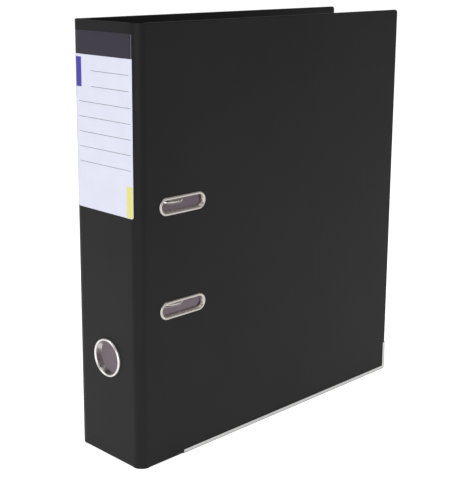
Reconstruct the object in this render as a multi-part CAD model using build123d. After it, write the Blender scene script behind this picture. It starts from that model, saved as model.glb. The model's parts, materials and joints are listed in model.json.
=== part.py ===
from build123d import *
import math
import os

# A lever arch file for two-hole paper. The case is two boards and a spine board, wrapped
# in film and joined by two soft folds. A nickel-plated lever arch mechanism is riveted
# inside the back cover. Z is up, the spine faces -Y, the front cover faces +X, and the
# origin is under the middle of the closed file. All sizes are in millimetres.

# Case
case_height = 335.0         # floor to the top edge
case_depth = 300.0          # outer face of the spine to the fore-edge
case_width = 75.0           # outer face of one cover to the outer face of the other
board_t = 2.4
film_t = 0.4                # wrap film, and the lining paper that lies level with its turn-ins
turn_in = 7.0               # width of the film folded onto the inside of the boards
corner_r = 8.5              # outer radius of the two folds beside the spine
fold_gap = 0.5              # free film edge to the cover that swings past it
edge_r = 0.9                # film rounded over the board edges
cover_corner_r = 2.5        # corners of the covers, seen from the side

# Metal edge guards, under both covers and a little way up the fore-edge
guard_t = 0.4
guard_leg = 3.0             # height of the two legs that grip the cover
guard_start = 44.0          # from the spine's outer face
guard_rise = 26.5           # height of the turned-up end

# Finger ring in the spine
ring_z = 81.0
ring_open_r = 13.0
ring_rim = 2.2              # width of the rounded outer rim
ring_proud = 1.8
ring_tube_t = 0.5
ring_lip = 1.6              # rolled end of the tube, over the washer
ring_lip_t = 0.5
washer_rim = 3.6
washer_t = 0.8

# Label on the spine
label_side = 5.5            # label's sides to the outer faces of the covers
label_bottom = 195.0
label_top = 327.5
label_t = 0.2
label_corner_r = 1.5

# Slots in the front cover, one over each arch
slot_pitch = 80.0           # also the pitch of the arches and posts: two-hole paper
mech_z = 161.0              # height of the middle of the mechanism
slot_y = 43.4               # from the spine's outer face to the middle of slots and arches
slot_open_l = 41.4
slot_open_w = 9.2
slot_rim = 2.4
slot_proud = 0.9
slot_wall = 0.5
slot_lip = 1.8              # clinched edge on the lining
slot_lip_t = 0.6

# Base plate and its rivets
plate_t = 1.2
plate_end = 40.0            # posts to the plate's ends
plate_w = 52.0
plate_corner_r = 6.0
rivet_inset_z = 8.0
rivet_inset_y = 5.5
rivet_r = 2.0
rivet_head_r = 4.5
rivet_head_h = 1.0
clinch_r = 3.4
clinch_h = 0.9
rib_r = 1.4                 # pressed stiffening ribs
rib_len = 22.0
rib_proud = 0.8

# Arch wire: two arches and the crank between them, bent from one wire
wire_r = 2.0
arch_w = 24.0               # moving leg to fixed post
crest_gap = 3.32            # crest to the closed front cover's lining
arch_bend_r = 11.8
foot_bend_r = 5.0
tip_drop = 20.0             # crest's centre line down to the tip
tip_gap = 0.3
crank_arm = 12.0
crank_z = (-2.0, 22.0)      # ends of the crank, from the middle of the mechanism
crank_bend_r = 3.5
knuckle_inset = 10.0        # knuckle's middle, inwards from the arch
knuckle_len = 8.0
knuckle_t = 1.0
run_clear = 0.08            # radial play in the bearings

# Posts
post_r = 2.2
post_spigot_r = 1.6
post_collar_r = 3.6
post_collar_h = 1.0
post_dimple_r = 1.2
post_dimple_d = 1.5

# Lever, its roller and its ears
lever_z = 14.0              # lever pivot, from the middle of the mechanism
lever_len = 48.0            # pivot to the handle's end
sheet_t = 1.2               # lever and ear sheet
pin_r = 1.5
pin_head_r = 2.4
pin_head_t = 0.8
boss_r = 2.9
axle_r = 1.25
axle_boss_r = 2.6
roller_r = 4.0
roller_w = 5.0
roller_arm = 7.0            # lever pivot to the roller
roller_angle = 45.0         # roller arm, from straight towards the plate
roller_gap = 0.15           # roller to the crank wire
side_play = 0.3
ear_w = 8.0
handle_w = 13.0
handle_start = 20.0         # from the pivot, where the lever widens into the handle
curl_r = 3.0
cheek_len = 24.0

# Compressor bar on the posts
bar_end = 10.0              # posts to the bar's ends
bar_w = 12.0
bar_t = 0.8
bar_flange = 3.0
bar_gap = 0.3
bar_hole_play = 0.2
bar_offset = 1.8            # bar's middle, from the post line, so that it clears the lever

# Worked out from the above
cover_t = board_t + 2 * film_t
spine_y = (ring_proud - case_depth - guard_t) / 2
fore_y = spine_y + case_depth
front_x = (case_width + rivet_head_h - slot_proud) / 2
back_x = front_x - case_width
foot_z = guard_t
cover_y = spine_y + corner_r
middle_x = (front_x + back_x) / 2
back_inner_x = back_x + cover_t
front_inner_x = front_x - cover_t
plate_top_x = back_inner_x + plate_t
pivot_x = plate_top_x + wire_r + run_clear
arch_y = spine_y + slot_y
pivot_y = arch_y - arch_w / 2
post_y = arch_y + arch_w / 2
crank_y = pivot_y + crank_arm
arch_zs = (mech_z - slot_pitch / 2, mech_z + slot_pitch / 2)
crest_x = front_inner_x - crest_gap - wire_r
tip_x = crest_x - tip_drop
roller_x = pivot_x + wire_r + roller_gap + roller_r
lever_x = roller_x + roller_arm * math.cos(math.radians(roller_angle))
lever_pivot_z = mech_z + lever_z
roller_z = lever_pivot_z - roller_arm * math.sin(math.radians(roller_angle))
cheek_in = roller_w / 2 + side_play
cheek_out = cheek_in + sheet_t
ear_in = cheek_out + side_play
ear_out = ear_in + sheet_t
ring_hole_r = ring_open_r + ring_tube_t
plate_y = (arch_y - plate_w / 2, arch_y + plate_w / 2)
plate_len = slot_pitch + 2 * plate_end
plate_z = (mech_z - plate_len / 2, mech_z + plate_len / 2)
bar_len = slot_pitch + 2 * bar_end


def block(x, y, z):
    """Box between the two values given for each axis."""
    centre = Pos((x[0] + x[1]) / 2, (y[0] + y[1]) / 2, (z[0] + z[1]) / 2)
    return centre * Box(abs(x[1] - x[0]), abs(y[1] - y[0]), abs(z[1] - z[0]))


def along_x(x0, x1, y, z, shape):
    """A flat outline, its width along Y and its height along Z, drawn out from x0 to x1."""
    plane = Plane(origin=(min(x0, x1), y, z), x_dir=(0, 1, 0), z_dir=(1, 0, 0))
    return extrude(plane * shape, abs(x1 - x0))


def along_y(y0, y1, x, z, shape):
    """A flat outline, its width along X and its height along Z, drawn out from y0 to y1."""
    plane = Plane(origin=(x, max(y0, y1), z), x_dir=(1, 0, 0), z_dir=(0, -1, 0))
    return extrude(plane * shape, abs(y1 - y0))


# ---- Case ----------------------------------------------------------------------------

def cover_slab(x, inset, corner, edge):
    """A cover's outline, shrunk by inset at its three free edges, with rounded edges."""
    slab = block(x, (cover_y, fore_y - inset), (foot_z + inset, case_height - inset))
    corners = slab.edges().filter_by(Axis.X).group_by(Axis.Y)[-1]
    slab = fillet(corners, corner)
    rim = [e for e in slab.edges()
           if abs((e % 0.5).X) < 0.001 and e.center().Y > cover_y + corner]
    return fillet(rim, edge)


def cover(outer_x, side, holes):
    """Wrap, board and lining of the cover that faces side along X."""
    inner_x = outer_x - side * cover_t
    outline = cover_slab((inner_x, outer_x), 0, cover_corner_r, edge_r)
    board = cover_slab((inner_x + side * film_t, outer_x - side * film_t), film_t,
                       cover_corner_r - film_t, edge_r - film_t)
    lining = block((inner_x, inner_x + side * film_t), (cover_y, fore_y - turn_in),
                   (foot_z + turn_in, case_height - turn_in))
    return outline - board - lining - holes, board - holes, lining - holes


def spine(hole):
    """Wrap, board and lining of the spine, between the two folds."""
    x = (back_x + corner_r, front_x - corner_r)

    def slab(y, inset, edge):
        piece = block(x, y, (foot_z + inset, case_height - inset))
        return fillet(piece.edges().filter_by(Axis.X), edge)

    outline = slab((spine_y, spine_y + cover_t), 0, edge_r)
    board = slab((spine_y + film_t, spine_y + cover_t - film_t), film_t, edge_r - film_t)
    lining = block(x, (spine_y + cover_t - film_t, spine_y + cover_t),
                   (foot_z + turn_in, case_height - turn_in))
    return outline - board - lining - hole, board - hole, lining - hole


def hinge_film(outer_x, side):
    """Soft quarter-round fold that the film makes between the spine and a cover."""
    axis_x = outer_x - side * corner_r
    middle_z = (foot_z + case_height) / 2
    height = case_height - foot_z
    tube = Cylinder(corner_r, height) - Cylinder(corner_r - film_t, height)
    quarter = block((axis_x, outer_x), (spine_y, cover_y - fold_gap), (foot_z, case_height))
    return Pos(axis_x, cover_y, middle_z) * tube & quarter


def edge_guard(outer_x, side):
    """Pressed metal channel on a cover's lower edge, turned up at the fore-edge."""
    inner_x = outer_x - side * cover_t
    x = (inner_x - side * guard_t, outer_x + side * guard_t)
    reach = fore_y + guard_t
    guard = block(x, (spine_y + guard_start, reach), (0, guard_t + guard_leg))
    guard += block(x, (fore_y - guard_leg, reach), (0, guard_rise))
    corner = guard.edges().filter_by(Axis.X).filter_by_position(Axis.Y, reach - 0.01, reach)
    guard = fillet(corner.group_by(Axis.Z)[0], cover_corner_r + guard_t)
    inside = block((inner_x, outer_x), (cover_y, fore_y), (foot_z, case_height))
    low_corner = inside.edges().filter_by(Axis.X).group_by(Axis.Y)[-1].group_by(Axis.Z)[0]
    return guard - fillet(low_corner, cover_corner_r)


def finger_ring():
    """Outer rim, tube and rolled lip of the finger hole, as one turned piece."""
    rim = Pos(0, 0, ring_proud / 2) * Cylinder(ring_open_r + ring_rim, ring_proud)
    rim = fillet(rim.edges().group_by(Axis.Z)[-1], ring_proud * 0.6)
    depth = cover_t + washer_t + ring_lip_t
    tube = Pos(0, 0, -depth / 2) * Cylinder(ring_hole_r, depth)
    lip = Pos(0, 0, -depth + ring_lip_t / 2) * Cylinder(ring_hole_r + ring_lip, ring_lip_t)
    ring = rim + tube + lip - Cylinder(ring_open_r, 4 * depth)
    mouth = ring.edges().filter_by(GeomType.CIRCLE).group_by(Axis.Z)[-1].sort_by(SortBy.RADIUS)[0]
    ring = fillet(mouth, ring_tube_t * 0.8)
    return Pos(middle_x, spine_y, ring_z) * Rot(90, 0, 0) * ring


def ring_washer():
    """Flat washer under the rolled lip, on the inside of the spine."""
    disc = Circle(ring_open_r + washer_rim) - Circle(ring_hole_r)
    inner = spine_y + cover_t
    return along_y(inner, inner + washer_t, middle_x, ring_z, disc)


def case_corner(grow):
    """The spine's outside with its two round folds, larger by grow, over the label's height."""
    body = block((back_x - grow, front_x + grow), (spine_y - grow, cover_y + corner_r),
                 (label_bottom, label_top))
    return fillet(body.edges().filter_by(Axis.Z).group_by(Axis.Y)[0], corner_r + grow)


def spine_label():
    """Paper label on the spine, its sides lying a little way round the two folds."""
    height = label_top - label_bottom
    width = case_width - 2 * label_side
    outline = RectangleRounded(width, height, label_corner_r)
    cut = along_y(spine_y - 2 * label_t, cover_y, middle_x, label_bottom + height / 2, outline)
    return (case_corner(label_t) - case_corner(0)) & cut


def slot_outline(grow):
    """Opening of a cover slot, larger by grow all round."""
    return SlotOverall(slot_open_l + 2 * grow, slot_open_w + 2 * grow)


def slot_eyelet(z):
    """Oblong eyelet: domed rim outside, wall through the cover, clinched lip inside."""
    rim = along_x(front_x, front_x + slot_proud, arch_y, z, slot_outline(slot_rim))
    rim = fillet(rim.edges().group_by(Axis.X)[-1], slot_proud * 0.7)
    lip_x = front_inner_x - slot_lip_t
    wall = along_x(lip_x, front_x, arch_y, z, slot_outline(slot_wall))
    lip = along_x(lip_x, front_inner_x, arch_y, z, slot_outline(slot_lip))
    opening = along_x(lip_x - 1, front_x + slot_proud + 1, arch_y, z, slot_outline(0))
    return rim + wall + lip - opening


# ---- Mechanism -----------------------------------------------------------------------

def rivet_places():
    ys = (plate_y[0] + rivet_inset_y, plate_y[1] - rivet_inset_y)
    zs = (plate_z[0] + rivet_inset_z, plate_z[1] - rivet_inset_z)
    return [(y, z) for y in ys for z in zs]


def rivet(y, z):
    """Rivet with a low domed head outside the cover and a clinched end on the plate."""
    head = along_x(back_x - rivet_head_h, back_x, y, z, Circle(rivet_head_r))
    head = fillet(head.edges().group_by(Axis.X)[0], rivet_head_h * 0.8)
    shank = along_x(back_x, plate_top_x, y, z, Circle(rivet_r))
    clinch = along_x(plate_top_x, plate_top_x + clinch_h, y, z, Circle(clinch_r))
    return head + shank + fillet(clinch.edges().group_by(Axis.X)[-1], clinch_h * 0.6)


def knuckle(z):
    """Strap pressed up from the plate over the arch wire."""
    outer_r = wire_r + run_clear + knuckle_t
    strap = Pos(pivot_x, pivot_y, z) * Cylinder(outer_r, knuckle_len)
    strap += block((plate_top_x, pivot_x), (pivot_y - outer_r, pivot_y + outer_r),
                   (z - knuckle_len / 2, z + knuckle_len / 2))
    below = block((pivot_x - 2 * outer_r, plate_top_x), (pivot_y - 2 * outer_r, pivot_y + 2 * outer_r),
                  (z - knuckle_len, z + knuckle_len))
    bore = Pos(pivot_x, pivot_y, z) * Cylinder(wire_r + run_clear, 2 * knuckle_len)
    return strap - below - bore


def ear(y0, y1):
    """Upright ear of the base plate that holds one end of the lever pin."""
    top = along_y(y0, y1, lever_x, lever_pivot_z, Circle(ear_w / 2))
    return top + block((plate_top_x, lever_x), (y0, y1),
                       (lever_pivot_z - ear_w / 2, lever_pivot_z + ear_w / 2))


def rib(y, z):
    """Shallow rib pressed into the plate, parallel to the spine."""
    bar = Pos(plate_top_x - rib_r + rib_proud, y, z) * Cylinder(rib_r, rib_len)
    ends = [Pos(plate_top_x - rib_r + rib_proud, y, z + s * rib_len / 2) * Sphere(rib_r)
            for s in (-1, 1)]
    keep = block((plate_top_x, plate_top_x + rib_r), (y - rib_r, y + rib_r),
                 (z - rib_len, z + rib_len))
    return (bar + ends) & keep


def base_plate():
    """Pressed plate with two wire knuckles, two lever ears and four stiffening ribs."""
    outline = RectangleRounded(plate_w, plate_len, plate_corner_r)
    plate = along_x(back_inner_x, plate_top_x, arch_y, mech_z, outline)
    for side in (-1, 1):
        plate += knuckle(mech_z + side * (slot_pitch / 2 - knuckle_inset))
    plate += ear(crank_y - ear_out, crank_y - ear_in)
    plate += ear(crank_y + ear_in, crank_y + ear_out)
    for z in (plate_z[0] + rib_len, plate_z[1] - rib_len):
        for y in (arch_y - plate_w / 8, arch_y + plate_w / 8):
            plate += rib(y, z)
    plate -= along_y(crank_y - ear_out - 1, crank_y + ear_out + 1, lever_x, lever_pivot_z,
                     Circle(pin_r))
    for y, z in rivet_places():
        plate -= along_x(back_inner_x - 1, plate_top_x + 1, y, z, Circle(rivet_r))
    for z in arch_zs:
        plate -= along_x(back_inner_x - 1, plate_top_x + 1, post_y, z, Circle(post_spigot_r))
    return plate


def post(z):
    """Fixed post that the arch's tip meets, with a dimple in its end."""
    top = tip_x - tip_gap
    body = along_x(plate_top_x, top, post_y, z, Circle(post_r))
    body = chamfer(body.edges().group_by(Axis.X)[-1], 0.5)
    body += along_x(back_inner_x, plate_top_x, post_y, z, Circle(post_spigot_r))
    body += along_x(plate_top_x, plate_top_x + post_collar_h, post_y, z, Circle(post_collar_r))
    return body - along_x(top - post_dimple_d, top + 1, post_y, z, Circle(post_dimple_r))


def arch_wire():
    """Two arches, the pivot runs in the knuckles and the crank under the roller."""
    low, high = arch_zs
    crank_low, crank_high = (mech_z + z for z in crank_z)
    route = [
        (tip_x, post_y, high), (crest_x, post_y, high), (crest_x, pivot_y, high),
        (pivot_x, pivot_y, high), (pivot_x, pivot_y, crank_high),
        (pivot_x, crank_y, crank_high), (pivot_x, crank_y, crank_low),
        (pivot_x, pivot_y, crank_low), (pivot_x, pivot_y, low),
        (crest_x, pivot_y, low), (crest_x, post_y, low), (tip_x, post_y, low),
    ]
    arch, foot, crank = arch_bend_r, foot_bend_r, crank_bend_r
    radii = [arch, arch, foot, crank, crank, crank, crank, foot, arch, arch]
    path = FilletPolyline(*route, radius=radii)
    section = Plane(origin=path @ 0, z_dir=path % 0) * Circle(wire_r)
    return sweep(section, path=path)


def lever_arm():
    """Folded sheet lever: two cheeks round the roller, and a handle with a curled end."""
    end_z = lever_pivot_z - lever_len
    top_x = lever_x + boss_r
    cheek_end = lever_pivot_z - cheek_len
    side = make_hull(
        (Pos(lever_x, lever_pivot_z) * Circle(boss_r)
         + Pos(roller_x, roller_z) * Circle(axle_boss_r)
         + Pos(top_x - 1, cheek_end) * Circle(1)).edges())
    cheeks = extrude(Plane(origin=(0, crank_y - cheek_out, 0), x_dir=(1, 0, 0), z_dir=(0, -1, 0))
                     * side, -2 * cheek_out)
    cheeks -= block((back_x, top_x - sheet_t), (crank_y - cheek_in, crank_y + cheek_in),
                    (cheek_end - 5, lever_pivot_z + 2 * boss_r))
    web = block((top_x - sheet_t, top_x), (crank_y - cheek_out, crank_y + cheek_out),
                (lever_pivot_z - cheek_len, lever_pivot_z))
    handle = block((top_x - sheet_t, top_x), (crank_y - handle_w / 2, crank_y + handle_w / 2),
                   (end_z, lever_pivot_z - handle_start))
    handle = fillet(handle.edges().filter_by(Axis.X).group_by(Axis.Z)[-1], 4)
    curl_x = top_x - sheet_t + curl_r
    curl = along_y(crank_y - handle_w / 2, crank_y + handle_w / 2, curl_x, end_z, Circle(curl_r))
    curl -= along_y(crank_y - handle_w, crank_y + handle_w, curl_x, end_z,
                    Circle(curl_r - sheet_t))
    curl -= block((curl_x, curl_x + 2 * curl_r), (crank_y - handle_w, crank_y + handle_w),
                  (end_z, end_z + 2 * curl_r))
    lever = cheeks + web + handle + curl
    lever -= along_y(crank_y - cheek_out - 1, crank_y + cheek_out + 1, lever_x, lever_pivot_z,
                     Circle(pin_r + run_clear))
    return lever - along_y(crank_y - cheek_out - 1, crank_y + cheek_out + 1, roller_x, roller_z,
                           Circle(axle_r))


def lever_pin():
    """Headed pin through both ears, on which the lever turns."""
    pin = along_y(crank_y - ear_out, crank_y + ear_out, lever_x, lever_pivot_z, Circle(pin_r))
    for y in (crank_y - ear_out - pin_head_t, crank_y + ear_out):
        pin += along_y(y, y + pin_head_t, lever_x, lever_pivot_z, Circle(pin_head_r))
    return pin


def roller_axle():
    return along_y(crank_y - cheek_out, crank_y + cheek_out, roller_x, roller_z, Circle(axle_r))


def roller():
    """Hardened roller that holds the crank down."""
    wheel = along_y(crank_y - roller_w / 2, crank_y + roller_w / 2, roller_x, roller_z,
                    Circle(roller_r))
    wheel = fillet(wheel.edges(), 0.4)
    return wheel - along_y(crank_y - roller_w, crank_y + roller_w, roller_x, roller_z,
                           Circle(axle_r + run_clear))


def compressor_bar():
    """Sheet bar that slides on the posts and presses the papers down."""
    x = (plate_top_x + post_collar_h + bar_gap, plate_top_x + post_collar_h + bar_gap + bar_t)
    bar = along_x(x[0], x[1], post_y + bar_offset, mech_z, RectangleRounded(bar_w, bar_len, 3))
    for y in (post_y + bar_offset - bar_w / 2, post_y + bar_offset + bar_w / 2 - bar_t):
        bar += block((x[0], x[0] + bar_flange), (y, y + bar_t),
                     (mech_z - bar_len / 2 + 8, mech_z + bar_len / 2 - 8))
    for z in arch_zs:
        bar -= along_x(x[0] - 1, x[1] + 1, post_y, z, Circle(post_r + bar_hole_play))
    return bar


slot_holes = [along_x(front_inner_x - 1, front_x + 1, arch_y, z, slot_outline(slot_wall))
              for z in arch_zs]
rivet_holes = [along_x(back_x - 1, back_inner_x + 1, y, z, Circle(rivet_r))
               for y, z in rivet_places()]
ring_hole = along_y(spine_y - 1, spine_y + cover_t + 1, middle_x, ring_z, Circle(ring_hole_r))

parts = {}
parts["front_wrap"], parts["front_board"], parts["front_lining"] = cover(front_x, 1, slot_holes)
parts["back_wrap"], parts["back_board"], parts["back_lining"] = cover(back_x, -1, rivet_holes)
parts["spine_wrap"], parts["spine_board"], parts["spine_lining"] = spine(ring_hole)
parts["front_hinge_film"] = hinge_film(front_x, 1)
parts["back_hinge_film"] = hinge_film(back_x, -1)
parts["front_edge_guard"] = edge_guard(front_x, 1)
parts["back_edge_guard"] = edge_guard(back_x, -1)
parts["finger_ring"] = finger_ring()
parts["finger_ring_washer"] = ring_washer()
parts["spine_label"] = spine_label()
parts["lower_slot_eyelet"] = slot_eyelet(arch_zs[0])
parts["upper_slot_eyelet"] = slot_eyelet(arch_zs[1])
parts["base_plate"] = base_plate()
parts["plate_rivets"] = Compound(children=[rivet(y, z) for y, z in rivet_places()])
parts["lower_post"] = post(arch_zs[0])
parts["upper_post"] = post(arch_zs[1])
parts["arch_wire"] = arch_wire()
parts["lever_arm"] = lever_arm()
parts["lever_pin"] = lever_pin()
parts["roller_axle"] = roller_axle()
parts["roller"] = roller()
parts["compressor_bar"] = compressor_bar()

os.makedirs("parts", exist_ok=True)
for name, shape in parts.items():
    export_step(shape, f"parts/{name}.step")
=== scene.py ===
"""Looks of the lever arch file: materials, soft folds, rolled fittings, label print and studio."""

import json
import math

import bmesh
import bpy
from mathutils import Matrix, Vector


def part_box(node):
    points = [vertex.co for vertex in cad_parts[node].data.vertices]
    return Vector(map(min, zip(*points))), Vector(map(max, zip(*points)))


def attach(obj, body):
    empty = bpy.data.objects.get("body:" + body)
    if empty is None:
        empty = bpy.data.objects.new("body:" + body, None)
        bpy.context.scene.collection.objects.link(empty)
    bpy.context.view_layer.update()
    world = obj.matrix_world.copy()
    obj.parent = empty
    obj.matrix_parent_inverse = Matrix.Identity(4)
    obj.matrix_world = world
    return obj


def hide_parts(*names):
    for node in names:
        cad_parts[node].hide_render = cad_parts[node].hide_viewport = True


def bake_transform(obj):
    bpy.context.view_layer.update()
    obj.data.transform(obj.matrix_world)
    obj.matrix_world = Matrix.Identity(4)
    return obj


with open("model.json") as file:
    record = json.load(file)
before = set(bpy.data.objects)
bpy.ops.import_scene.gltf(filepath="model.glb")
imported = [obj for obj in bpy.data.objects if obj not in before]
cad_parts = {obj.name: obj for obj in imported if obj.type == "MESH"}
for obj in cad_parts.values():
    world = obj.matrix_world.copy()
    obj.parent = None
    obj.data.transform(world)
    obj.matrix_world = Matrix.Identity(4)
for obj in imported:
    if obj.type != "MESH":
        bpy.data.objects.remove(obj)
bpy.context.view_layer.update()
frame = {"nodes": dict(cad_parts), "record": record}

MM = 0.001
SHARP = math.radians(40)        # edges that turn more than this stay crisp in a smooth piece

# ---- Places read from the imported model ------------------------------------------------
front_low, front_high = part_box("front_wrap")
back_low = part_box("back_wrap")[0]
spine_low, spine_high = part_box("spine_wrap")
spine_lining_low, spine_lining_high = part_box("spine_lining")
label_low, label_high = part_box("spine_label")

FRONT_X = front_high.x          # outer face of the front cover
BACK_X = back_low.x             # outer face of the back cover
MIDDLE_X = (FRONT_X + BACK_X) / 2
SPINE_Y = spine_low.y           # outer face of the spine
FILM_T = 0.4 * MM
BOARD_Y = front_low.y           # where the covers' boards start
CORNER_R = BOARD_Y - SPINE_Y    # outer radius of the two folds beside the spine
COVER_T = spine_high.y - spine_low.y
LABEL_T = SPINE_Y - label_low.y


# ---- Small helpers --------------------------------------------------------------------
def link(obj):
    bpy.context.scene.collection.objects.link(obj)
    return obj


def mesh_piece(name, vertices, faces, material, smooth=True):
    """A mesh object from points and faces, its normals made to point outwards."""
    mesh = bpy.data.meshes.new(name)
    mesh.from_pydata([tuple(v) for v in vertices], [], faces)
    bm = bmesh.new()
    bm.from_mesh(mesh)
    bmesh.ops.recalc_face_normals(bm, faces=bm.faces)
    for edge in bm.edges:
        edge.smooth = edge.calc_face_angle(math.pi) < SHARP
    bm.to_mesh(mesh)
    bm.free()
    mesh.materials.append(material)
    for polygon in mesh.polygons:
        polygon.use_smooth = smooth
    return link(bpy.data.objects.new(name, mesh))


def ribbon(name, sections, material, smooth=True):
    """A closed skin over a row of closed sections with the same number of points."""
    count = len(sections[0])
    vertices = [p for section in sections for p in section]
    faces = []
    for row in range(len(sections) - 1):
        for i in range(count):
            a, b = row * count + i, row * count + (i + 1) % count
            faces.append((a, b, b + count, a + count))
    faces.append(tuple(range(count)))
    faces.append(tuple(range(len(vertices) - count, len(vertices))))
    return mesh_piece(name, vertices, faces, material, smooth)


def closed_skin(name, rows, material):
    """A smooth ring-shaped skin: every row is a closed profile, and the last joins the first."""
    count, turns = len(rows[0]), len(rows)
    vertices = [p for row in rows for p in row]
    faces = []
    for j in range(turns):
        for i in range(count):
            a, b = j * count + i, j * count + (i + 1) % count
            c = (j + 1) % turns * count
            faces.append((a, b, c + (i + 1) % count, c + i))
    return mesh_piece(name, vertices, faces, material)


def bead(outer, inner, proud, steps=7):
    """Half-round bead from the outer foot, over the top, down to the inner wall: (reach, height)."""
    middle, half = (outer + inner) / 2, (outer - inner) / 2
    turns = [i / steps * math.pi for i in range(steps + 1)]
    return [(middle + half * math.cos(t), proud * math.sin(t) ** 0.8) for t in turns]


# ---- Materials ------------------------------------------------------------------------
class Nodes:
    """A material's node tree, with short calls for the nodes this script uses."""

    def __init__(self, name):
        self.material = bpy.data.materials.new(name)
        self.material.use_nodes = True
        self.tree = self.material.node_tree
        self.shader = self.tree.nodes["Principled BSDF"]

    def add(self, kind, inputs=None, **settings):
        node = self.tree.nodes.new("ShaderNode" + kind)
        for key, value in settings.items():
            setattr(node, key, value)
        for key, value in (inputs or {}).items():
            self.put(value, node.inputs[key])
        return node

    def put(self, value, socket):
        if isinstance(value, bpy.types.NodeSocket):
            self.tree.links.new(value, socket)
        else:
            socket.default_value = value

    def surface(self, **inputs):
        for key, value in inputs.items():
            self.put(value, self.shader.inputs[key.replace("_", " ")])
        return self.material

    def place(self):
        return self.add("TexCoord").outputs["Object"]

    def noise(self, scale, detail=3.0, roughness=0.5, stretch=(1, 1, 1)):
        where = self.add("Mapping", {"Vector": self.place(), "Scale": stretch}).outputs[0]
        settings = {"Vector": where, "Scale": scale, "Detail": detail, "Roughness": roughness}
        return self.add("TexNoise", settings).outputs["Fac"]

    def ramp(self, value, low, high, start=0.3, end=0.7):
        """Maps a 0 to 1 value to the range low to high, between start and end."""
        settings = {"Value": value, "From Min": start, "From Max": end, "To Min": low, "To Max": high}
        return self.add("MapRange", settings).outputs[0]

    def mix(self, share, first, second):
        node = self.add("Mix", data_type="RGBA")
        self.put(share, node.inputs[0])
        self.put(first, node.inputs[6])
        self.put(second, node.inputs[7])
        return node.outputs[2]

    def bump(self, height, distance, strength=1.0, normal=None):
        settings = {"Height": height, "Distance": distance, "Strength": strength}
        node = self.add("Bump", settings)
        if normal is not None:
            self.put(normal, node.inputs["Normal"])
        return node.outputs[0]


def rgb(r, g, b):
    return (r, g, b, 1.0)


def film_material():
    n = Nodes("black_film")
    grain = n.noise(2600, 2.0)
    cloud = n.noise(14, 2.0)
    soft = n.noise(55, 2.0)
    colour = n.mix(n.ramp(cloud, 0, 1), rgb(0.0042, 0.0042, 0.0044), rgb(0.0062, 0.0062, 0.0064))
    normal = n.bump(soft, 0.00004, 0.25)
    normal = n.bump(grain, 0.00003, 0.5, normal)
    return n.surface(Base_Color=colour, Roughness=n.ramp(grain, 0.46, 0.56),
                     Specular_IOR_Level=0.17, Normal=normal)


def board_material():
    n = Nodes("greyboard")
    fibre = n.noise(900, 4.0, 0.6, (1, 1, 0.35))
    fleck = n.noise(2200, 2.0)
    colour = n.mix(n.ramp(fibre, 0, 1), rgb(0.24, 0.22, 0.19), rgb(0.40, 0.37, 0.33))
    return n.surface(Base_Color=colour, Roughness=n.ramp(fleck, 0.85, 0.95),
                     Normal=n.bump(fibre, 0.0001, 0.6))


def lining_material():
    n = Nodes("lining_paper")
    fibre = n.noise(1400, 4.0, 0.6)
    cloud = n.noise(30, 3.0)
    tone = n.add("Math", {0: fibre, 1: cloud}, operation="ADD").outputs[0]
    colour = n.mix(n.ramp(tone, 0, 1, 0.7, 1.3), rgb(0.565, 0.50, 0.54), rgb(0.595, 0.525, 0.57))
    return n.surface(Base_Color=colour, Roughness=n.ramp(fibre, 0.62, 0.75),
                     Specular_IOR_Level=0.35, Normal=n.bump(fibre, 0.00003, 0.5))


def nickel_material(name, tint, rough, lines=(1, 1, 1)):
    """Plated metal, its fine marks drawn out along one direction by lines."""
    n = Nodes(name)
    fine = n.noise(900, 3.0, 0.6, lines)
    cloud = n.noise(120, 2.0)
    darker = tuple(c * 0.94 for c in tint)
    colour = n.mix(n.ramp(cloud, 0, 1), rgb(*darker), rgb(*tint))
    return n.surface(Base_Color=colour, Metallic=1.0, Roughness=n.ramp(fine, *rough),
                     Normal=n.bump(fine, 0.00001, 0.4))


def card_material():
    n = Nodes("label_card")
    fibre = n.noise(1800, 3.0)
    cloud = n.noise(60, 2.0)
    colour = n.mix(n.ramp(cloud, 0, 1), rgb(0.565, 0.577, 0.682), rgb(0.590, 0.602, 0.706))
    return n.surface(Base_Color=colour, Roughness=n.ramp(fibre, 0.38, 0.48),
                     Specular_IOR_Level=0.4, Normal=n.bump(fibre, 0.00002, 0.4))


def ink_material(name, dark, light):
    n = Nodes(name)
    fleck = n.noise(1500, 3.0)
    colour = n.mix(n.ramp(fleck, 0, 1), rgb(*dark), rgb(*light))
    return n.surface(Base_Color=colour, Roughness=n.ramp(fleck, 0.38, 0.48),
                     Specular_IOR_Level=0.2, Normal=n.bump(fleck, 0.00001, 0.4))


FILM = film_material()
BOARD = board_material()
LINING = lining_material()
NICKEL = nickel_material("eyelet_nickel", (0.50, 0.46, 0.435), (0.20, 0.32))
RING_NICKEL = nickel_material("ring_nickel", (0.70, 0.67, 0.66), (0.24, 0.34))
WIRE_NICKEL = nickel_material("wire_nickel", (0.60, 0.56, 0.53), (0.12, 0.22))
GUARD = nickel_material("guard_nickel", (0.53, 0.53, 0.525), (0.22, 0.34), (1, 0.1, 1))
SHEET = nickel_material("satin_nickel_sheet", (0.46, 0.455, 0.445), (0.30, 0.40), (1, 1, 0.08))
CARD = card_material()
HEADER_INK = ink_material("header_ink", (0.019, 0.016, 0.026), (0.025, 0.021, 0.034))
LINE_INK = ink_material("line_ink", (0.12, 0.12, 0.16), (0.17, 0.17, 0.21))
BLUE_INK = ink_material("blue_ink", (0.045, 0.035, 0.26), (0.060, 0.045, 0.30))
YELLOW_INK = ink_material("yellow_ink", (0.58, 0.57, 0.17), (0.63, 0.62, 0.21))

SLOT_MATERIALS = {"film": FILM, "board": BOARD, "lining": LINING, "nickel": WIRE_NICKEL,
                  "plate_steel": SHEET, "label": CARD}


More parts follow.
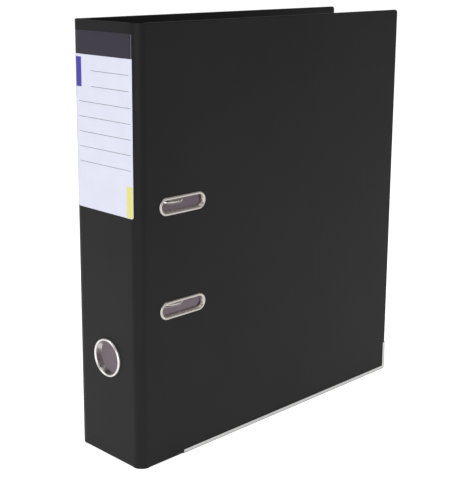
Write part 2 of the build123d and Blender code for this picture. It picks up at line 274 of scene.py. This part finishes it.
def paint_nodes():
    """Every CAD node gets the finish of its slot in the record."""
    slot_of = {part["node"]: part["material_slot"] for part in frame["record"]["subparts"]}
    for name, obj in frame["nodes"].items():
        obj.data.materials.clear()
        obj.data.materials.append(SLOT_MATERIALS[slot_of[name]])


# ---- Soft folds -----------------------------------------------------------------------
def fold_section(axis_x, side, outer_r, inner_r, steps=24):
    """Closed section of a quarter-round skin between the spine and a cover, seen from above."""
    turns = [i / steps * math.pi / 2 for i in range(steps + 1)]

    def arc(radius, angles):
        return [(axis_x + side * radius * math.sin(t), BOARD_Y - radius * math.cos(t)) for t in angles]

    return arc(outer_r, turns) + arc(inner_r, reversed(turns))


def fold_skin(name, side, radii, heights, round_r, material):
    """A quarter-round skin whose top and bottom edges are rounded by round_r."""
    axis_x = (FRONT_X if side > 0 else BACK_X) - side * CORNER_R
    turns = [i / 5 * math.pi / 2 for i in range(6)]
    rounding = [(round_r * (1 - math.sin(t)), round_r * (1 - math.cos(t))) for t in turns]
    levels = [(heights[0] + drop, shrink) for drop, shrink in reversed(rounding)]
    levels += [(heights[1] - drop, shrink) for drop, shrink in rounding]
    sections = []
    for z, shrink in levels:
        section = fold_section(axis_x, side, radii[0] - shrink, radii[1])
        sections.append([(x, y, z) for x, y in section])
    return ribbon(name, sections, material)


def bend_over_fold(piece):
    """Bakes the piece's placement into its mesh."""
    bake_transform(piece)


def board_edge_strip(name, body, x, y, z):
    """Lining paper turned over a board's edge in the fold, as a thin sheet with soft corners."""
    low, high = Vector((x[0], y[0], z[0])), Vector((x[1], y[1], z[1]))
    size, middle = high - low, (low + high) / 2
    bm = bmesh.new()
    bmesh.ops.create_cube(bm, size=1.0)
    bmesh.ops.scale(bm, vec=size, verts=bm.verts)
    bmesh.ops.translate(bm, vec=middle, verts=bm.verts)
    bmesh.ops.bevel(bm, geom=bm.edges[:], offset=min(size) * 0.4, segments=2, affect="EDGES")
    mesh = bpy.data.meshes.new(name)
    bm.to_mesh(mesh)
    bm.free()
    mesh.materials.append(LINING)
    piece = link(bpy.data.objects.new(name, mesh))
    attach(piece, body)


def soft_folds():
    """Film and lining paper round both folds, and paper over the boards' edges in them."""
    paper_t = 0.25 * MM
    film_round, paper_round = 0.25 * MM, 0.08 * MM
    lining_z = (spine_lining_low.z, spine_lining_high.z)
    for word, side, edge_x in (("front", 1, spine_high.x), ("back", -1, spine_low.x)):
        cover = word + "_cover"
        film = fold_skin(word + "_fold_film", side, (CORNER_R, CORNER_R - FILM_T),
                         (front_low.z, front_high.z), film_round, FILM)
        bend_over_fold(film)
        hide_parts(word + "_hinge_film")
        inner_r = CORNER_R - FILM_T
        paper = fold_skin(word + "_fold_paper", side, (inner_r, inner_r - paper_t), lining_z,
                          paper_round, LINING)
        bend_over_fold(paper)
        board_edge_strip(word + "_fold_spine_edge", "spine", sorted((edge_x, edge_x + side * paper_t)),
                         (SPINE_Y + FILM_T, SPINE_Y + COVER_T), lining_z)
        cover_x = sorted((edge_x + side * (CORNER_R - FILM_T), edge_x + side * (CORNER_R - COVER_T)))
        board_edge_strip(word + "_fold_cover_edge", cover, cover_x, (BOARD_Y - paper_t, BOARD_Y), lining_z)


# ---- Nickel fittings ------------------------------------------------------------------
def finger_ring():
    """Rolled ring in the spine: a round bead outside, a straight wall, and a lip on the washer."""
    low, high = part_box("finger_ring")
    centre_z = (low.z + high.z) / 2
    outer_r = (high.x - low.x) / 2
    rim, tube_t, lip_t = 2.2 * MM, 0.5 * MM, 0.5 * MM
    bore_r = outer_r - rim
    lip_y, face_y = high.y, SPINE_Y
    lip_r = bore_r + 2.1 * MM
    profile = [(r, face_y - h) for r, h in bead(outer_r, bore_r, face_y - low.y, 10)]
    wall_start = face_y + 1.2 * MM
    profile += [(bore_r, wall_start), (bore_r, lip_y - lip_t),
                (bore_r + 0.2 * MM, lip_y - 0.1 * MM), (bore_r + 0.6 * MM, lip_y),
                (lip_r - 0.3 * MM, lip_y), (lip_r, lip_y - lip_t / 2), (lip_r - 0.1 * MM, lip_y - lip_t),
                (bore_r + tube_t, lip_y - lip_t), (bore_r + tube_t, face_y)]
    rows = []
    for k in range(128):
        t = k / 128 * 2 * math.pi
        rows.append([(MIDDLE_X + r * math.cos(t), y, centre_z + r * math.sin(t)) for r, y in profile])
    piece = closed_skin("finger_ring_rolled", rows, RING_NICKEL)
    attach(piece, "spine")
    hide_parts("finger_ring")


def oblong(half_straight, radius, steps=24):
    """Points round a slot outline with its outward directions, length along Y, from its centre."""
    points = []
    for end in (1, -1):
        for k in range(steps + 1):
            t = -math.pi / 2 + k / steps * math.pi
            out = Vector((end * math.cos(t), end * math.sin(t)))
            points.append((Vector((end * half_straight, 0)) + out * radius, out))
    return points


def slot_eyelet(node, name):
    """Oblong eyelet: a domed rim outside, a wall through the cover, a clinched lip inside."""
    low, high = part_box(node)
    centre_y, centre_z = (low.y + high.y) / 2, (low.z + high.z) / 2
    rim, wall, lip_t = 2.4 * MM, 0.5 * MM, 0.6 * MM
    throat = 0.8 * MM               # how far the funnel closes in on the slot
    open_l, open_w = high.y - low.y - 2 * rim, high.z - low.z - 2 * rim
    lip_x = low.x
    profile = [(reach, FRONT_X + h) for reach, h in bead(rim, 0.0, high.x - FRONT_X, 9)]
    profile += [(-0.2 * MM, FRONT_X - 0.3 * MM), (-0.7 * MM, FRONT_X - 1.3 * MM),
                (-throat, FRONT_X - 1.9 * MM), (-throat, lip_x + 0.7 * MM),
                (-0.6 * MM, lip_x + 0.2 * MM), (-0.1 * MM, lip_x), (1.5 * MM, lip_x),
                (1.8 * MM, lip_x + lip_t / 2), (1.7 * MM, lip_x + lip_t), (wall, lip_x + lip_t),
                (wall, FRONT_X)]
    rows = []
    for point, out in oblong((open_l - open_w) / 2, open_w / 2):
        row = []
        for reach, x in profile:
            spot = point + out * reach
            row.append((x, centre_y + spot.x, centre_z + spot.y))
        rows.append(row)
    piece = closed_skin(name, rows, NICKEL)
    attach(piece, "front_cover")
    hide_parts(node)


def edge_guard(node, name, body):
    """Pressed channel along a cover's foot and up the fore-edge, with a line rolled in each leg."""
    low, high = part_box(node)
    sheet, bend = 0.4 * MM, 0.55 * MM
    leg, turn_r = 3.4 * MM, 2.9 * MM
    groove_h, groove_d = 1.25 * MM, 0.14 * MM       # the rolled line's height and depth
    groove_w = 0.35 * MM                            # half its width
    half = (high.x - low.x) / 2
    middle = (high.x + low.x) / 2

    def side_points(x, sign, inset):
        """One leg from its free edge down to the foot, its inner face if inset: (across, depth)."""
        if inset:
            return [(x - sign * inset, leg), (x - sign * inset, sheet)]
        leg_line = [(x, leg), (x, groove_h + groove_w), (x - sign * groove_d, groove_h),
                    (x, groove_h - groove_w), (x, bend)]
        foot = [(x - sign * bend * (1 - math.cos(t)), bend * (1 - math.sin(t))) for t in
                (math.pi / 8, math.pi / 4, 3 * math.pi / 8, math.pi / 2)]
        return leg_line + foot

    outside = side_points(half, 1, 0) + list(reversed(side_points(-half, -1, 0)))
    inside = side_points(-half, -1, sheet) + list(reversed(side_points(half, 1, sheet)))
    profile = outside + inside
    stops = [("along", low.y), ("along", high.y - turn_r)]
    stops += [("turn", math.radians(d)) for d in range(10, 90, 10)]
    stops += [("rise", turn_r), ("rise", high.z)]
    sections = []
    for kind, value in stops:
        section = []
        for across, depth in profile:
            inner_r = max(0.0, turn_r - depth)
            corner_y, corner_z = high.y - max(turn_r, depth), max(turn_r, depth)
            if kind == "along":
                y, z = min(value, corner_y), depth
            elif kind == "turn":
                y, z = corner_y + inner_r * math.sin(value), corner_z - inner_r * math.cos(value)
            else:
                y, z = high.y - depth, max(value, corner_z)
            section.append((middle + across, y, low.z + z))
        sections.append(section)
    piece = ribbon(name, sections, GUARD, smooth=False)
    bevel = piece.modifiers.new("soft", "BEVEL")
    bevel.width, bevel.segments, bevel.limit_method = 0.05 * MM, 1, "ANGLE"
    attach(piece, body)
    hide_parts(node)


def nickel_fittings():
    finger_ring()
    slot_eyelet("lower_slot_eyelet", "lower_slot_rim")
    slot_eyelet("upper_slot_eyelet", "upper_slot_rim")
    edge_guard("front_edge_guard", "front_guard_channel", "front_cover")
    edge_guard("back_edge_guard", "back_guard_channel", "back_cover")


# ---- Label print ----------------------------------------------------------------------
def label_face(x):
    """The label's outer face at x: flat on the spine, and round the two folds at its sides."""
    over = abs(x - MIDDLE_X) - (abs(FRONT_X - MIDDLE_X) - CORNER_R)
    if over <= 0:
        return label_low.y
    radius = CORNER_R + LABEL_T
    return BOARD_Y - math.sqrt(radius ** 2 - over ** 2)


def print_panel(name, x, z, material, into=0.01 * MM):
    """A thin layer of ink on the label's face, between two places across and two up."""
    ink_t, step = into + 0.01 * MM, 0.8 * MM
    count = max(1, math.ceil((x[1] - x[0]) / step))
    sections = []
    for i in range(count + 1):
        px = x[0] + (x[1] - x[0]) * i / count
        y = label_face(px) + into
        sections.append([(px, y, z[0]), (px, y, z[1]), (px, y - ink_t, z[1]), (px, y - ink_t, z[0])])
    piece = ribbon(name, sections, material, smooth=False)
    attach(piece, "spine")


def label_print():
    """A plain filing label: a dark head, ruled lines and two coloured index bars, with no words."""
    left, right, top = label_low.x, label_high.x, label_high.z
    head_h, bar_h, line_t = 17.5 * MM, 22.0 * MM, 0.4 * MM
    head_low = top - head_h
    overlap = 0.02 * MM             # ink past the card's edges
    print_panel("label_head", (left - overlap, right + overlap), (head_low, top + overlap),
                HEADER_INK, LABEL_T * 1.05)
    short_x = (left + 18.5 * MM, right - 3 * MM)
    for i in range(2):              # two short lines, 11.5 mm apart
        z = head_low - (11.7 + 11.5 * i) * MM
        print_panel(f"label_short_line_{i + 1}", short_x, (z, z + line_t), LINE_INK)
    long_x = (left + 3.5 * MM, right - 1.5 * MM)
    for i in range(5):              # five long lines, 11.25 mm apart
        z = head_low - (35.0 + 11.25 * i) * MM
        print_panel(f"label_line_{i + 1}", long_x, (z, z + line_t), LINE_INK)
    print_panel("label_blue_bar", (left + 0.2 * MM, left + 7.0 * MM),
                (head_low - 2 * MM - bar_h, head_low - 2 * MM), BLUE_INK)
    print_panel("label_yellow_bar", (right - 6.5 * MM, right - 0.3 * MM),
                (label_low.z + 0.5 * MM, label_low.z + 23.4 * MM), YELLOW_INK)


# ---- Studio ---------------------------------------------------------------------------
def glow(name, colour, strength):
    """A matt studio surface that also gives off white light."""
    n = Nodes(name)
    n.shader.inputs["Base Color"].default_value = rgb(*colour)
    n.shader.inputs["Roughness"].default_value = 0.9
    n.shader.inputs["Emission Color"].default_value = rgb(1, 1, 1)
    n.shader.inputs["Emission Strength"].default_value = strength
    return n.material


def studio():
    """A pale floor, a white backdrop that only the camera sees, and four soft boxes."""
    reach = 5.0
    corners = [(-reach, -reach, 0), (reach, -reach, 0), (reach, reach, 0), (-reach, reach, 0)]
    pale = glow("pale_floor", (0.8, 0.8, 0.8), 0.72)
    floor = mesh_piece("floor", corners, [(0, 1, 2, 3)], pale, smooth=False)
    bm = bmesh.new()
    bmesh.ops.create_icosphere(bm, subdivisions=4, radius=reach)
    mesh = bpy.data.meshes.new("backdrop")
    bm.to_mesh(mesh)
    bm.free()
    backdrop = link(bpy.data.objects.new("backdrop", mesh))
    mesh.materials.append(glow("white_backdrop", (0, 0, 0), 1.05))
    backdrop.visible_diffuse = False
    backdrop.visible_glossy = False
    backdrop.visible_transmission = False
    backdrop.visible_shadow = False
    world = bpy.data.worlds.new("studio")
    world.use_nodes = True
    world.node_tree.nodes["Background"].inputs[0].default_value = rgb(1, 1, 1)
    world.node_tree.nodes["Background"].inputs[1].default_value = 0.42
    bpy.context.scene.world = world
    bpy.context.scene.view_settings.view_transform = "Standard"
    soft_box("key", (-0.9, -1.5, 1.3), 1.2, 10.5)
    soft_box("side", (1.6, 0.2, 1.0), 1.0, 1.2)
    soft_box("top", (0.0, 0.0, 1.9), 1.5, 9)
    soft_box("fill", (1.3, -1.5, 0.6), 1.2, 13)


def soft_box(name, place, size, power):
    """A square soft light, aimed at the middle of the case."""
    light = bpy.data.lights.new(name, "AREA")
    light.shape = "SQUARE"
    light.size = size
    light.energy = power
    lamp = link(bpy.data.objects.new(name, light))
    lamp.location = place
    aim = Vector((0, 0, 0.17)) - Vector(place)
    lamp.rotation_mode = "QUATERNION"
    lamp.rotation_quaternion = aim.to_track_quat("-Z", "Y")


def camera():
    """The view the file is shown from: 45 degrees round to the spine's right, a little above."""
    data = bpy.data.cameras.new("camera")
    data.sensor_width = 36.0
    data.lens = 80.53
    data.shift_y = -0.109
    data.clip_start, data.clip_end = 0.05, 20
    cam = link(bpy.data.objects.new("camera", data))
    yaw, pitch, roll = math.radians(45.24), math.radians(-12.34), math.radians(0.36)
    ahead = Vector((-math.sin(yaw) * math.cos(pitch), math.cos(yaw) * math.cos(pitch), math.sin(pitch)))
    level = Vector((math.cos(yaw), math.sin(yaw), 0))
    up = level.cross(ahead)
    right = level * math.cos(roll) + up * math.sin(roll)
    top = up * math.cos(roll) - level * math.sin(roll)
    turn = Matrix((right, top, -ahead)).transposed().to_4x4()
    cam.matrix_world = Matrix.Translation(Vector((0.612, -0.631, 0.383))) @ turn
    bpy.context.scene.camera = cam


paint_nodes()
soft_folds()
nickel_fittings()
label_print()
studio()
camera()
